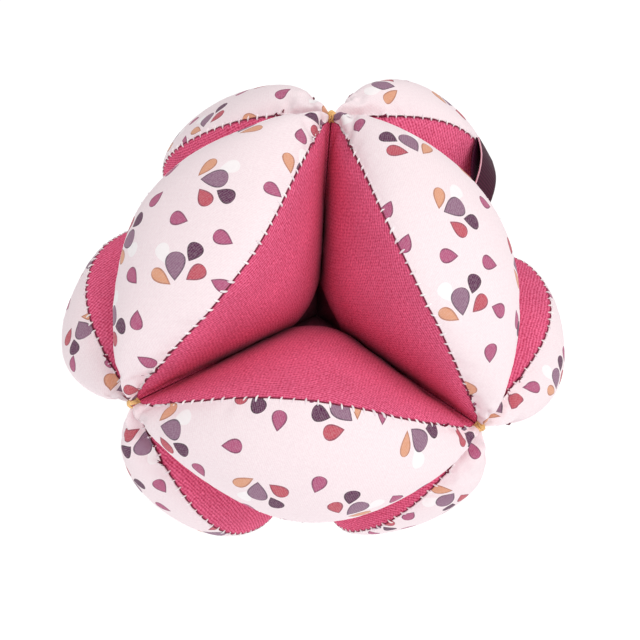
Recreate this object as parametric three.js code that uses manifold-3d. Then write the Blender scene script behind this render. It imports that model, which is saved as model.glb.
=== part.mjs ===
// A fabric sensory ball: twelve stuffed segments, one on each edge of an octahedron, tied
// together where four of their tips meet. Each segment is a folded raspberry pouch closed by
// a printed lens-shaped panel. Millimetres, +Z up, resting on the four shoulders round the
// lowest tie, with the origin on the floor under the centre.

import * as THREE from 'three';
import { mergeVertices } from 'three/addons/utils/BufferGeometryUtils.js';
import Module from 'manifold-3d';

// Ball
const CROWN_R = 65; // centre to the top of each printed panel
const TIP_R = 57; // centre to the tied tips
const SEAM_R = 58.8; // centre to the middle of a seam, along the segment's own plane
const HALF_WIDTH = 17.4; // segment plane to the middle of a seam
const SIDE_PUFF = 5.6; // how far the stuffing bows a raspberry side
const SEAM_POWER = 1.08; // how the lens narrows to its tips
const CROWN_POWER = 2.6; // how square the shoulders of the crown are
const CROWN_ROOT = 2.1;
const CONTACT_POWER = 4; // how tightly a side rolls away from its neighbour

// Cloth and clearances
const CLOTH = 1.2; // printed panel with its turned edge
const GAP = 0.3; // between touching pieces
const SPREAD = 0.24; // each segment is moved this far out along both of its tip axes
const PANEL_END = 0.07; // the panel stops this share of the length short of the tip
const TUCK_END = 0.05; // the pouch narrows under the panel from here
const FLAT_DEPTH = 1.0; // how deep the resting spots are pressed into the shoulders

// Tie of wound thread
const TIE_STEM_R = 0.8;
const TIE_HEAD_R = 1.6;
const TIE_STEM = 3.2; // below the tips
const TIE_HEAD = 2.4; // above the tips
const TIE_FACETS = 8;

// Folded ribbon label
const RIBBON_WIDTH = 11;
const RIBBON_LENGTH = 18; // from the seam to the fold, along the curve
const RIBBON_PLY = 1.0;
const RIBBON_SLOT = 0.8; // between the two plies
const RIBBON_AT = 0.5; // place along the seam
const RIBBON_LEAVES = 57; // degrees below the segment's side direction, at the seam
const RIBBON_ENDS = 74; // the same, at the fold
const RIBBON_SEAT = 0.9; // from the seam to the sewn end

// Grid
const ALONG = [0, TUCK_END, PANEL_END, 0.13, 0.21, 0.31, 0.41, 0.5,
  0.59, 0.69, 0.79, 0.87, 1 - PANEL_END, 1 - TUCK_END, 1];
const ACROSS = [-1, -0.72, -0.38, 0, 0.38, 0.72, 1];
const UP_SIDE = [0.24, 0.5, 0.76];

const COLOURS = {
  raspberry: 0xc34b6b,
  print: 0xf6e8ee,
  gold: 0xd9a441,
  aubergine: 0x4a1f3d,
};

const wasm = await Module();
wasm.setup();

// ---- segment shape, in its own frame: tips on +X and +Y, thickness along Z ----

function seamHalfWidth(u) {
  return HALF_WIDTH * Math.sin(Math.PI * u) ** SEAM_POWER;
}

function seamRadius(u) {
  return TIP_R + (SEAM_R - TIP_R) * Math.sin(Math.PI * u);
}

function crownRadius(u) {
  const rise = 1 - Math.abs(2 * u - 1) ** CROWN_POWER;
  return TIP_R + (CROWN_R - TIP_R) * Math.max(rise, 0) ** (1 / CROWN_ROOT);
}

function polar(u, r, z) {
  const angle = (u * Math.PI) / 2;
  return new THREE.Vector3(r * Math.cos(angle), r * Math.sin(angle), z);
}

function crownPoint(u, w) {
  const low = seamRadius(u);
  const high = Math.max(crownRadius(u), low);
  return polar(u, low + (high - low) * (1 - w * w), seamHalfWidth(u) * w);
}

function crownNormal(u, w) {
  const step = 0.004;
  const along = crownPoint(Math.min(u + step, 1), w).sub(crownPoint(Math.max(u - step, 0), w));
  const across = crownPoint(u, w + step).sub(crownPoint(u, w - step));
  return along.cross(across).normalize();
}

// The crown lowered by a depth along its normal, to make room for the cloth over it.
function crownBelow(u, w, depth) {
  return crownPoint(u, w).addScaledVector(crownNormal(u, w), -depth);
}

// Half thickness of the pouch at a share t of the way from the centre to the seam. It never
// passes the planes halfway to the neighbouring segments.
function sideHalf(u, t, edge) {
  const angle = (u * Math.PI) / 2;
  const contact = Math.min(Math.sin(angle), Math.cos(angle)) * seamRadius(u) * t;
  const bow = SIDE_PUFF * (4 * t * (1 - t)) ** 2 * Math.sin(Math.PI * u);
  const puffed = edge * t + bow;
  if (contact < 1e-6 || puffed < 1e-6) {
    return 0;
  }
  return (contact ** -CONTACT_POWER + puffed ** -CONTACT_POWER) ** (-1 / CONTACT_POWER);
}

// ---- placing ----

const AXIS = {
  a: new THREE.Vector3(0, 0, 1),
  b: new THREE.Vector3(-1, -1, 0).normalize(),
  c: new THREE.Vector3(1, -1, 0).normalize(),
};
const TIPS = {
  top: AXIS.a.clone(),
  left_front: AXIS.b.clone(),
  right_front: AXIS.c.clone(),
  bottom: AXIS.a.clone().negate(),
  right_back: AXIS.b.clone().negate(),
  left_back: AXIS.c.clone().negate(),
};

// Name of the segment, then its two tips in right-handed order with its outward side.
const SEGMENTS = [
  ['upper_front_left', 'top', 'left_front'],
  ['upper_front_right', 'top', 'right_front'],
  ['upper_back_left', 'top', 'left_back'],
  ['upper_back_right', 'top', 'right_back'],
  ['middle_front', 'left_front', 'right_front'],
  ['middle_left', 'left_front', 'left_back'],
  ['middle_right', 'right_front', 'right_back'],
  ['middle_back', 'left_back', 'right_back'],
  ['lower_front_left', 'bottom', 'left_front'],
  ['lower_front_right', 'bottom', 'right_front'],
  ['lower_back_left', 'bottom', 'left_back'],
  ['lower_back_right', 'bottom', 'right_back'],
];

// Depth of the shoulders below the centre, so that the resting spots lie on z = 0.
function shoulderDepth() {
  let lowest = 0;
  for (let u = 0; u < 0.5; u += 0.002) {
    lowest = Math.max(lowest, crownPoint(u, 0).x);
  }
  return lowest + SPREAD - FLAT_DEPTH;
}
const CENTRE_Z = shoulderDepth();

function segmentMatrix(tipX, tipY) {
  const x = TIPS[tipX];
  const y = TIPS[tipY];
  const z = new THREE.Vector3().crossVectors(x, y);
  const place = new THREE.Vector3(0, 0, CENTRE_Z);
  place.addScaledVector(x, SPREAD).addScaledVector(y, SPREAD);
  return new THREE.Matrix4().makeBasis(x, y, z).setPosition(place);
}

// ---- meshes ----

class Builder {
  constructor() {
    this.points = [];
    this.faces = [];
  }

  add(point) {
    this.points.push(point.x, point.y, point.z);
    return this.points.length / 3 - 1;
  }

  quad(i, j, k, l) {
    this.faces.push(i, j, k, i, k, l);
  }

  // Two rows of equal length joined by quads, all split along the same diagonal.
  strip(lower, upper, inward = false) {
    for (let i = 0; i + 1 < lower.length; i += 1) {
      if (inward) {
        this.quad(upper[i + 1], lower[i + 1], lower[i], upper[i]);
      } else {
        this.quad(lower[i], lower[i + 1], upper[i + 1], upper[i]);
      }
    }
  }

  geometry() {
    const raw = new THREE.BufferGeometry();
    raw.setAttribute('position', new THREE.Float32BufferAttribute(this.points, 3));
    raw.setIndex(this.faces);
    return withoutSlivers(mergeVertices(raw, 1e-4));
  }
}

function withoutSlivers(geometry) {
  const index = geometry.getIndex().array;
  const kept = [];
  for (let i = 0; i < index.length; i += 3) {
    const [p, q, r] = [index[i], index[i + 1], index[i + 2]];
    if (p !== q && q !== r && r !== p) {
      kept.push(p, q, r);
    }
  }
  geometry.setIndex(kept);
  return geometry;
}

function toSolid(geometry) {
  const merged = mergeVertices(bare(geometry), 1e-4);
  return new wasm.Manifold(new wasm.Mesh({
    numProp: 3,
    vertProperties: new Float32Array(merged.getAttribute('position').array),
    triVerts: new Uint32Array(withoutSlivers(merged).getIndex().array),
  }));
}

function bare(geometry) {
  const copy = geometry.clone();
  copy.deleteAttribute('normal');
  copy.deleteAttribute('uv');
  return copy;
}

function toGeometry(solid) {
  const mesh = solid.getMesh();
  const geometry = new THREE.BufferGeometry();
  geometry.setAttribute('position', new THREE.BufferAttribute(mesh.vertProperties, 3));
  geometry.setIndex(new THREE.BufferAttribute(mesh.triVerts, 1));
  geometry.computeVertexNormals();
  return geometry;
}

// Moves points up to a floor given in the ball's frame.
function pressed(point, matrix, floor) {
  const world = point.clone().applyMatrix4(matrix);
  world.z = Math.max(world.z, floor);
  return world;
}

// The stuffed raspberry pouch: two sides from the centre to the seams and a hidden crown.
function pouchGeometry(matrix) {
  const build = new Builder();
  const depth = (u) => (CLOTH + GAP) * Math.min(1, Math.min(u, 1 - u) / TUCK_END);
  const corner = (u, w) => crownBelow(u, w, depth(u));
  const floor = CLOTH + GAP;
  const put = (point) => build.add(pressed(point, matrix, floor));

  const crown = ALONG.map((u) => ACROSS.map((w) => put(corner(u, w))));
  for (let i = 0; i + 1 < crown.length; i += 1) {
    build.strip(crown[i + 1], crown[i]);
  }
  for (const side of [-1, 1]) {
    const rims = ALONG.map((u) => corner(u, side));
    const columns = ALONG.map((u, i) => {
      const rim = rims[i];
      const column = [put(new THREE.Vector3(0, 0, 0))];
      for (const t of UP_SIDE) {
        const half = sideHalf(u, t, Math.abs(rim.z));
        column.push(put(new THREE.Vector3(rim.x * t, rim.y * t, side * half)));
      }
      column.push(crown[i][side < 0 ? 0 : ACROSS.length - 1]);
      return column;
    });
    for (let i = 0; i + 1 < columns.length; i += 1) {
      if (side > 0) {
        build.strip(columns[i], columns[i + 1]);
      } else {
        build.strip(columns[i + 1], columns[i]);
      }
    }
  }
  return build.geometry();
}

// The printed panel: a curved lens of cloth over the crown.
function panelGeometry(matrix) {
  const build = new Builder();
  const stations = ALONG.filter((u) => u >= PANEL_END && u <= 1 - PANEL_END);
  const layer = (depth, floor) => stations.map((u) => ACROSS.map((w) => {
    const point = depth > 0 ? crownBelow(u, w, depth) : crownPoint(u, w);
    return build.add(floor > 0 ? pressed(point, matrix, floor) : point.applyMatrix4(matrix));
  }));
  const outer = layer(0, 0);
  const inner = layer(CLOTH, CLOTH);
  const last = stations.length - 1;
  for (let i = 0; i < last; i += 1) {
    build.strip(outer[i + 1], outer[i]);
    build.strip(inner[i + 1], inner[i], true);
  }
  const rim = (rows, pick) => rows.map(pick);
  const far = ACROSS.length - 1;
  build.strip(rim(inner, (row) => row[0]), rim(outer, (row) => row[0]));
  build.strip(rim(outer, (row) => row[far]), rim(inner, (row) => row[far]));
  build.strip(outer[0], inner[0]);
  build.strip(inner[last], outer[last]);
  return build.geometry();
}

// Profile of the wound thread round its axis, grown by a clearance.
function tieGeometry(clear) {
  const profile = [
    [0, -TIE_STEM - clear],
    [TIE_STEM_R + clear, -TIE_STEM - clear],
    [TIE_STEM_R + clear, -0.6 - clear],
    [TIE_HEAD_R + clear, 0.2 - clear / 2],
    [TIE_HEAD_R + clear, 1.4 + clear / 2],
    [0.75 * TIE_HEAD_R + clear, TIE_HEAD + clear],
    [0, TIE_HEAD + clear],
  ];
  const points = profile.map(([x, y]) => new THREE.Vector2(x, y));
  return new THREE.LatheGeometry(points, TIE_FACETS, Math.PI / TIE_FACETS);
}

function tieMatrix(axis) {
  const turn = new THREE.Quaternion().setFromUnitVectors(new THREE.Vector3(0, 1, 0), axis);
  const place = axis.clone().multiplyScalar(TIP_R).add(new THREE.Vector3(0, 0, CENTRE_Z));
  return new THREE.Matrix4().compose(place, turn, new THREE.Vector3(1, 1, 1));
}

// A ribbon folded in half, drooping from the seam in one bend: a long U in section.
function ribbonGeometry() {
  const steps = 10;
  const spine = [new THREE.Vector2(0, 0)];
  const headings = [];
  for (let i = 0; i <= steps; i += 1) {
    const degrees = RIBBON_LEAVES + (RIBBON_ENDS - RIBBON_LEAVES) * (i / steps);
    headings.push((-degrees * Math.PI) / 180);
  }
  for (let i = 0; i < steps; i += 1) {
    const heading = (headings[i] + headings[i + 1]) / 2;
    const move = new THREE.Vector2(Math.cos(heading), Math.sin(heading));
    spine.push(move.multiplyScalar(RIBBON_LENGTH / steps).add(spine[i]));
  }
  const beside = (distance, last) => spine.slice(0, last + 1).map((point, i) => {
    const aside = new THREE.Vector2(-Math.sin(headings[i]), Math.cos(headings[i]));
    return aside.multiplyScalar(distance).add(point);
  });
  const slot = RIBBON_SLOT / 2;
  const wall = slot + RIBBON_PLY;
  const end = headings[steps];
  const fold = new THREE.Vector2(Math.cos(end), Math.sin(end)).multiplyScalar(RIBBON_PLY * 0.6);
  const outline = [
    ...beside(wall, steps - 1),
    ...beside(wall * 0.6, steps).slice(-1),
    fold.add(spine[steps]),
    ...beside(-wall * 0.6, steps).slice(-1),
    ...beside(-wall, steps - 1).reverse(),
    ...beside(-slot, steps - 1),
    ...beside(slot, steps - 1).reverse(),
  ];
  const flat = { depth: RIBBON_WIDTH, bevelEnabled: false, steps: 1 };
  const solid = new THREE.ExtrudeGeometry(new THREE.Shape(outline), flat);
  return solid.translate(0, 0, -RIBBON_WIDTH / 2);
}

// The label leaves the seam between the top and the right back tips, on the right front side.
function ribbonMatrix() {
  const x = TIPS.top;
  const y = TIPS.right_back;
  const side = TIPS.right_front;
  const seamPoint = (u) => {
    const angle = (u * Math.PI) / 2;
    const reach = seamRadius(u) + SPREAD;
    const point = x.clone().multiplyScalar(reach * Math.cos(angle));
    point.addScaledVector(y, reach * Math.sin(angle));
    return point.addScaledVector(side, seamHalfWidth(u));
  };
  const along = seamPoint(RIBBON_AT + 0.05).sub(seamPoint(RIBBON_AT - 0.05)).normalize();
  const lead = side.clone().addScaledVector(along, -side.dot(along)).normalize();
  const up = new THREE.Vector3().crossVectors(lead, along);
  const root = seamPoint(RIBBON_AT).addScaledVector(lead, RIBBON_SEAT);
  root.add(new THREE.Vector3(0, 0, CENTRE_Z));
  return new THREE.Matrix4().makeBasis(lead, up, along.negate()).setPosition(root);
}

// ---- assembly ----

const group = new THREE.Group();

function material(colour, roughness) {
  return new THREE.MeshStandardMaterial({ color: colour, roughness, metalness: 0 });
}

function addNode(name, geometry, colour, roughness) {
  const mesh = new THREE.Mesh(geometry, material(colour, roughness));
  mesh.name = name;
  group.add(mesh);
}

const tieRoom = Object.values(TIPS).map((axis) => (
  toSolid(tieGeometry(GAP).applyMatrix4(tieMatrix(axis)))
));
const under = new THREE.BoxGeometry(60, 60, 20).translate(0, 0, -10);
const floorBlock = toSolid(under);

function largest(solid) {
  const pieces = solid.decompose();
  return pieces.reduce((best, piece) => (piece.volume() > best.volume() ? piece : best));
}

function trimmed(geometry) {
  let solid = toSolid(geometry);
  for (const room of tieRoom) {
    solid = solid.subtract(room);
  }
  return largest(solid);
}

for (const [name, tipX, tipY] of SEGMENTS) {
  const matrix = segmentMatrix(tipX, tipY);
  const pouch = trimmed(pouchGeometry(matrix));
  const panel = trimmed(panelGeometry(matrix)).subtract(floorBlock);
  addNode(`pouch_${name}`, toGeometry(pouch), COLOURS.raspberry, 0.85);
  addNode(`panel_${name}`, toGeometry(panel), COLOURS.print, 0.8);
}

for (const [name, axis] of Object.entries(TIPS)) {
  const geometry = tieGeometry(0).applyMatrix4(tieMatrix(axis));
  addNode(`tie_${name}`, geometry, COLOURS.gold, 0.6);
}

addNode('ribbon_label', ribbonGeometry().applyMatrix4(ribbonMatrix()), COLOURS.aubergine, 0.45);

export default group;
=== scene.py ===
"""A fabric sensory ball for Blender 4.5: twelve stuffed raspberry pouches, each closed by a printed
lens-shaped panel, edge-stitched in white, tied in gold thread where four tips meet, with a folded
ribbon label. Shapes are worked out in millimetres and made into meshes in metres."""

import math

import bmesh
import bpy
import numpy as np
from mathutils import Matrix, Vector


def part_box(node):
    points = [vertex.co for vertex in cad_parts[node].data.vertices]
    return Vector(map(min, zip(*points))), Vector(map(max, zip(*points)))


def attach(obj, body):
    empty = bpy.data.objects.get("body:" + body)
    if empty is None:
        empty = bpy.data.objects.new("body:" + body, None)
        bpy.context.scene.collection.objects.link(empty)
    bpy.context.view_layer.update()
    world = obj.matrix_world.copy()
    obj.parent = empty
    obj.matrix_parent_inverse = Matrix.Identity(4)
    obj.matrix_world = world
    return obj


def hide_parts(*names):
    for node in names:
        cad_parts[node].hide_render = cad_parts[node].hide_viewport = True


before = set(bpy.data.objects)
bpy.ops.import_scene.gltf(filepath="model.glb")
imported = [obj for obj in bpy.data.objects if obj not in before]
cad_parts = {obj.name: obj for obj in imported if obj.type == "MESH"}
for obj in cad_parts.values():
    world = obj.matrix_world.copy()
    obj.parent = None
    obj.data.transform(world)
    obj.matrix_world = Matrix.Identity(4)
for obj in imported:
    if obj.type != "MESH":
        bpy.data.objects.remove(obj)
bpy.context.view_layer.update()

MM = 0.001
MERGE = 2e-6  # metres within which points of one mesh are the same point
CLOTH_MAP = "cloth_mm"  # the UV map of every piece of cloth, in millimetres of cloth
PAINTED_SHADE_MAP = "painted_shade"  # painted shade, 0 on open cloth and up to 1: darker where a turned edge sinks into a seam, where pouches press together and deep near the centre

# Ball, as in the part's own source, but a little rounder and narrower towards the tips
CROWN_R = 65.0  # centre to the top of each printed panel
SEAM_R = 58.8  # centre to the middle of a seam, along the segment's own plane
HALF_WIDTH = 17.4  # segment plane to the middle of a seam
SIDE_PUFF = 5.6  # how far the stuffing bows a raspberry side
SEAM_POWER = 1.15  # how the lens narrows to its tips
CROWN_POWER = 2.6  # how square the shoulders of the crown are
CROWN_ROOT = 1.8
TIP_GATHER = 0.25  # how much narrower the lens is drawn at a tip
TIP_REACH = 0.09  # as a share of the seam's length
CONTACT_POWER = 4  # how tightly a side rolls away from its neighbour
TIE_HEAD = 2.4  # height of a tie above the tips

# Cloth, in millimetres unless it says otherwise
CLOTH = 0.5  # a turned edge, two layers of cotton
SEAM_GROOVE = 0.1  # between the two turned edges of a seam
UNDERLAY = 0.35  # from the printed panel down to the pouch under it
STITCH_PITCH = 2.6  # from one edge stitch to the next
STITCH_PULL = 0.2  # how deep a stitch pulls the cloth in
SEAM_DIP = 0.25  # how deep the cloth sinks along a seam
STITCH_REACH, SEAM_REACH, EDGE_REACH = 1.3, 1.6, 1.2  # how far each one draws the cloth
TURN_REACH, TURN_SHARE = 2, 0.35  # how far a seam turns the cloth: at most, and of its half width
CORE_DEPTH = 0.6  # from the seams down to the line that the crown bulges from, of the half width
NARROW = 2.5  # edges are thinner where the half width is less than this
# Where an effect starts and is full, as shares of a seam's length from a tip; the last is the painted
# shade on the cloth under the panel
CROWN_OPENS, TIP_LOOSENS, UNDER_SHADE_GROWS = (0.06, 0.2), (0, 0.03), (0.03, 0.12)
CLOTH_SHIFT, PRINT_SHIFT = 40, 200  # how far either way a piece may be moved on the cloth it is cut from
SEAM_TOOTH = 0.06  # how far each stitch draws the printed edge over the seam
PAINTED_EDGE_SHADE = 0.85  # how much painted shade darkens the pouch's cloth where it turns into a seam
POUCH_ROLL, PANEL_ROLL = (30, 65, 105), (30, 65, 100, 140)  # degrees that an edge turns under
PRESSED_SHADE, PRESSED_FROM = 0.6, 0.66  # the painted shade where pouches press together, and where it starts
EDGE_SHADE_REACH = 0.12  # how far the painted shade of an edge reaches out of the seam
CENTRE_SHADE = (0.08, 0.42)  # where the painted shade near the centre starts to lift and is gone
PANEL_END = 0.01  # the panel stops this share of its length short of a tip
STITCH_END = 0.05  # and the stitching this share

# Thread, in millimetres
STITCH_LENGTH = 1.5
STITCH_THREAD = 0.24
STITCH_RISE = 0.26
STITCH_SINK = 0.75  # its ends go this share of its rise under the cloth
STITCH_SIZES = (0.8, 1.2)
STITCH_FAN = 0.35  # how far a stitch may turn from square to the seam, in radians
STITCH_LAYERS = (1.0, 0.4)  # the share of places with a first stitch, and with a second
KNOT_THREAD = 0.3
KNOT_R = 0.8
KNOT_TURNS = 4
KNOT_STRANDS = 7
KNOT_HEIGHT = 0.5  # above the tips
KNOT_LOOSE = 0.12  # how far its turns are from round
KNOT_SPREAD = 0.5  # how far its strands reach past them
KNOT_LOW, KNOT_DOME, KNOT_STEP = 0.35, 0.95, 0.07  # its crossed strands, each higher by a step
PLY_TURN = 1.3  # one twist of the plies
PLY_WAIST, PLY_FULL = 0.62, 0.35  # the half width of two plies where they meet, and what it gains

# Ribbon, in millimetres and degrees
RIBBON_WIDE = 11.0
RIBBON_LONG = 36.0
RIBBON_THICK = 0.35
RIBBON_AT = 0.5  # where it is caught in the seam, as a share from the top tip
RIBBON_LEAVES = 57  # degrees below the way straight out of the seam
RIBBON_ENDS = 74  # and at its fold
RIBBON_STEPS = 40
RIBBON_ROOT = 0.15  # from the seam to its first line
RIBBON_FOLD = 0.25  # radius of the fold
RIBBON_GAP = 0.22  # between each half and the line they share, at the seam
RIBBON_OPEN = 0.75  # how far each half bows away from the other near the seam
RIBBON_SAG = 2.0  # how far its nearer edge droops
RIB_SPACING = 0.7  # drawn about twice as coarse as grosgrain, so that it shows

# Colours and print, in sRGB and millimetres of cloth
WEAVE_SPACING = 0.5  # two threads drawn as one, so that the grain shows
PRINT_SPACING = 0.33  # the same, for finer cloth
WEAVE_DRIFTS = ((0.07, 1.4), (0.75, 0.6))  # scale and reach: it drifts, and single threads wander
WEAVE_DIAGONALS = (("ADD", 0.27), ("SUBTRACT", 0.12))  # how strong each way is
FLECK_SCALE, INK_SCALE, CLOUD_SCALE = 1.7, 3.2, 0.09  # 0.6, 0.3 and 11 mm across
SLUB_STRETCHES = ((0.16, 2.4, 1), (2.4, 0.16, 1))  # along the weft and along the warp
# the third raspberry is painted shade, the deep crimson that seams, creases and the centre are darkened
# towards
RASPBERRY, RASPBERRY_DEEP, RASPBERRY_SHADE_PAINT = "FF80A9", "C4365F", "520920"
RIBBON_FACE, RIBBON_DEEP, SELVEDGE = "480A2C", "30001A", "EBB9C6"
SELVEDGE_EDGE = (0.25, 0.1)  # where the selvedge starts and is full, from the ribbon's edge
GROUND, GROUND_DEEP = "FDEFF3", "F7E4EA"
AUBERGINE, LAVENDER, CORAL = ("561247", "360A2E"), ("8F6682", "5C4259"), ("C2495A", "8F344D")
MUSTARD, WHITE, MAUVE = ("E2A07C", "B9785C"), ("FFFAFC", "FEF8FA"), ("B44E7B", "7B2C58")
PETAL_TAPER, PETAL_FULL = 0.55, 1.36  # how it narrows, and what brings it to its full width
PETAL_RIM = (0.5, 0.24)  # where its darker outline starts and is full, from its edge
SPRIG_REPEAT = (21.5, 2.2, 3.0)  # spacing, wander and pattern number
SPRIG_STEM = (3.2, -0.8)  # the point that a sprig's petals point to, from the sprig's middle
SPRIG = (  # bearing from the stem, distance, length, width and inks of each petal
    (104, 3.9, 5.6, 3.0, MUSTARD),
    (136, 8.0, 5.0, 3.5, WHITE),
    (158, 4.6, 6.4, 4.7, LAVENDER),
    (186, 8.6, 4.5, 3.7, AUBERGINE),
    (214, 5.4, 5.0, 3.5, CORAL),
)
DROP_REPEAT = (9.6, 1.3, 8.0)
DROP_CLEARANCE = 9.2  # from the middle of a sprig
DROP_SIZE, DROP_INK = (4.7, 3.4), MAUVE

# Stations: the simulated cloth is coarse, and the shown cloth is fine
SIM_ALONG, SIM_SIDE, SIM_CROWN = 49, 13, 13
FINE_ALONG, FINE_CROWN, FINE_SIDE = 193, 27, 24
SIDE_ROOT = 0.03  # the simulated sides start this share of the way out from the ball's centre

high_tie, low_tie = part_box("tie_top")[1].z / MM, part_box("tie_bottom")[0].z / MM
TIP_R = (high_tie - low_tie) / 2 - TIE_HEAD
CENTRE = np.array([0.0, 0.0, (high_tie + low_tie) / 2])


def placed(name, data):
    """A new object in the scene."""
    made = bpy.data.objects.new(name, data)
    bpy.context.scene.collection.objects.link(made)
    return made


# ---- camera ----

LENS = 49.1  # focal length in millimetres
CAMERA_ROUND, CAMERA_UP, CAMERA_ROLL = -1.8, 34.5, 5.0  # degrees
CAMERA_PLACE = (0.97, -1.45, 241.3)  # from the ball's centre, along the camera's own axes


def set_camera():
    """Stands a long lens a little to the left of the front and above, slightly rolled."""
    lens = bpy.data.cameras.new("camera")
    lens.lens = LENS
    lens.sensor_width = 36.0
    turn = (Matrix.Rotation(math.radians(CAMERA_ROUND), 4, "Z")
            @ Matrix.Rotation(math.radians(90 - CAMERA_UP), 4, "X")
            @ Matrix.Rotation(math.radians(CAMERA_ROLL), 4, "Z"))
    camera = placed("camera", lens)
    camera.matrix_world = Matrix.Translation(Vector(CENTRE * MM)) @ turn @ Matrix.Translation(
        Vector(CAMERA_PLACE) * MM)
    bpy.context.scene.camera = camera


set_camera()


def unit(vector):
    return np.asarray(vector, float) / np.linalg.norm(vector)


def units(vectors):
    """A whole array of vectors, each brought to length 1."""
    return vectors / np.linalg.norm(vectors, axis=-1, keepdims=True).clip(1e-9)


TIPS = {name: unit(way) for name, way in (
    ("top", (0, 0, 1)), ("left_front", (-1, -1, 0)), ("right_front", (1, -1, 0)),
    ("bottom", (0, 0, -1)), ("right_back", (1, 1, 0)), ("left_back", (-1, 1, 0)))}

# Each segment's two tips, then how its middle sits. In millimetres: swollen outwards, leaning to
# its outward side, and slid towards its second tip. In hundredths: wider. In degrees: rocked out at
# its first tip and in at its second, rolled about its long axis, and turned about its way out.
SEGMENTS = {
    "upper_front_left": ("top", "left_front", -0.3, 0.2, 0.0, 10.0, 0.0, 0.0, 2.0),
    "upper_front_right": ("top", "right_front", -0.2, -0.2, 0.0, -7.0, 0.0, 0.0, 0.0),
    "upper_back_left": ("top", "left_back", -0.4, 1.1, 1.8, 0.0, -8.0, 14.0, 0.0),
    "upper_back_right": ("top", "right_back", 1.2, 3.4, 0.5, 0.0, 9.0, 11.0, -8.0),
    "middle_front": ("left_front", "right_front", 0.4, 0.1, 0.0, 8.0, 0.0, 0.0, -9.0),
    "middle_left": ("left_front", "left_back", -0.2, 2.2, -1.6, -2.0, 12.0, 3.0, -8.0),
    "middle_right": ("right_front", "right_back", 0.3, -2.6, -2.0, -3.0, 12.0, -8.0, 9.0),
    "middle_back": ("left_back", "right_back", -0.6, 0.5, 0.4, 1.0, -3.0, 3.0, 1.0),
    "lower_front_left": ("bottom", "left_front", -0.1, 0.8, 0.0, 0.0, -4.0, 12.0, 0.0),
    "lower_front_right": ("bottom", "right_front", -1.6, 0.2, 0.0, 0.0, 3.0, 4.0, 0.0),
    "lower_back_left": ("bottom", "left_back", 0.5, 0.7, -0.5, 2.0, 2.0, 2.0, -1.5),
    "lower_back_right": ("bottom", "right_back", -0.4, -0.5, 0.6, -1.0, 3.0, -3.0, 2.0),
}
SWELL_SPREAD = math.radians(24)

# How far the tying has pulled each tip out of true, in millimetres
TIP_PULL = {
    "top": (-0.5, 0.7, -0.9),
    "left_front": (-1.5, -0.6, -0.3),
    "right_front": (-1.1, 0.2, -0.9),
}
PULL_SPREAD = math.radians(28)


# ---- shape of a segment, in its own frame: tips on +X and +Y, thickness along Z ----

def seam_half_width(u):
    gathered = 1 - TIP_GATHER * np.exp(-((np.minimum(u, 1 - u) / TIP_REACH) ** 2))
    return HALF_WIDTH * gathered * np.sin(np.pi * u).clip(0) ** SEAM_POWER


def seam_radius(u):
    return TIP_R + (SEAM_R - TIP_R) * np.sin(np.pi * u)


def crown_radius(u):
    rise = (1 - np.abs(2 * u - 1) ** CROWN_POWER).clip(0)
    return TIP_R + (CROWN_R - TIP_R) * rise ** (1 / CROWN_ROOT)


def fanned(u, radius, across):
    """Points at the share u of the quarter turn from tip to tip."""
    angle = u * np.pi / 2
    return np.stack(np.broadcast_arrays(radius * np.cos(angle), radius * np.sin(angle), across), -1)


def crown(us, ws):
    """Grid of the printed lens: us from tip to tip, ws from seam to seam."""
    u, w = us[:, None], ws[None, :]
    low = seam_radius(u)
    high = np.maximum(crown_radius(u), low)
    return fanned(u, low + (high - low) * (1 - w * w), seam_half_width(u) * w)


def side(us, ts, sign, puff=SIDE_PUFF):
    """Grid of a raspberry side: us from tip to tip, ts from the ball's centre to the seam. It never
    passes the planes halfway to the neighbouring segments."""
    u, t = us[:, None], ts[None, :]
    angle = u * np.pi / 2
    contact = np.minimum(np.sin(angle), np.cos(angle)) * seam_radius(u) * t
    bow = puff * (4 * t * (1 - t)) ** 2 * np.sin(np.pi * u)
    puffed = seam_half_width(u) * t + bow
    both = (contact > 1e-6) & (puffed > 1e-6)
    held = np.where(both, contact, 1) ** -CONTACT_POWER + np.where(both, puffed, 1) ** -CONTACT_POWER
    half = np.where(both, held ** (-1 / CONTACT_POWER), 0)
    half += (puffed - half) * smooth(t, 0.75, 1)  # it ends on the seam exactly
    return fanned(u, seam_radius(u) * t, sign * half)


def smooth(value, low, high):
    """0 below low, 1 above high, and an even ease between them."""
    t = ((value - low) / (high - low)).clip(0, 1)
    return t * t * (3 - 2 * t)


def within_contact(points):
    """Points kept between the two planes halfway to the neighbouring segments."""
    room = np.minimum(points[..., 0], points[..., 1]).clip(0)
    kept = points.copy()
    kept[..., 2] = np.clip(points[..., 2], -room, room)
    return kept


def shade_where_pressed(points):
    """Painted shade on each point of a side, from 0 up to its full strength where it presses hardest
    against the neighbouring pouch.
    """
    room = np.minimum(points[..., 0], points[..., 1]).clip(1e-3)
    return PRESSED_SHADE * smooth(np.abs(points[..., 2]) / room, PRESSED_FROM, 1.0) ** 1.5


def slopes(grid):
    """Unit vectors along both ways of a grid, and its unit normal."""
    along, across = np.gradient(grid, axis=0), np.gradient(grid, axis=1)
    normal = np.cross(along, across)
    return [units(v) for v in (along, across, normal)]


def from_core(grid):
    """Unit vectors to each point of a grid from a line just under the seams. They never cross each
    other, as normals do where the crown is tall and narrow."""
    core = fanned(US, seam_radius(US) - CORE_DEPTH * seam_half_width(US), 0)
    return units(grid - core[:, None])


def facing(normal, outward):
    """The normals turned, where they have to be, to the side that outward points to."""
    agree = (normal * outward).sum(-1, keepdims=True)
    return np.where(agree < 0, -normal, normal)


def run_length(grid, axis):
    """Distance along a grid's lines, from their first point."""
    steps = np.linalg.norm(np.diff(grid, axis=axis), axis=-1)
    start = np.zeros_like(np.take(steps, [0], axis=axis))
    return np.concatenate([start, np.cumsum(steps, axis=axis)], axis=axis)


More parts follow.
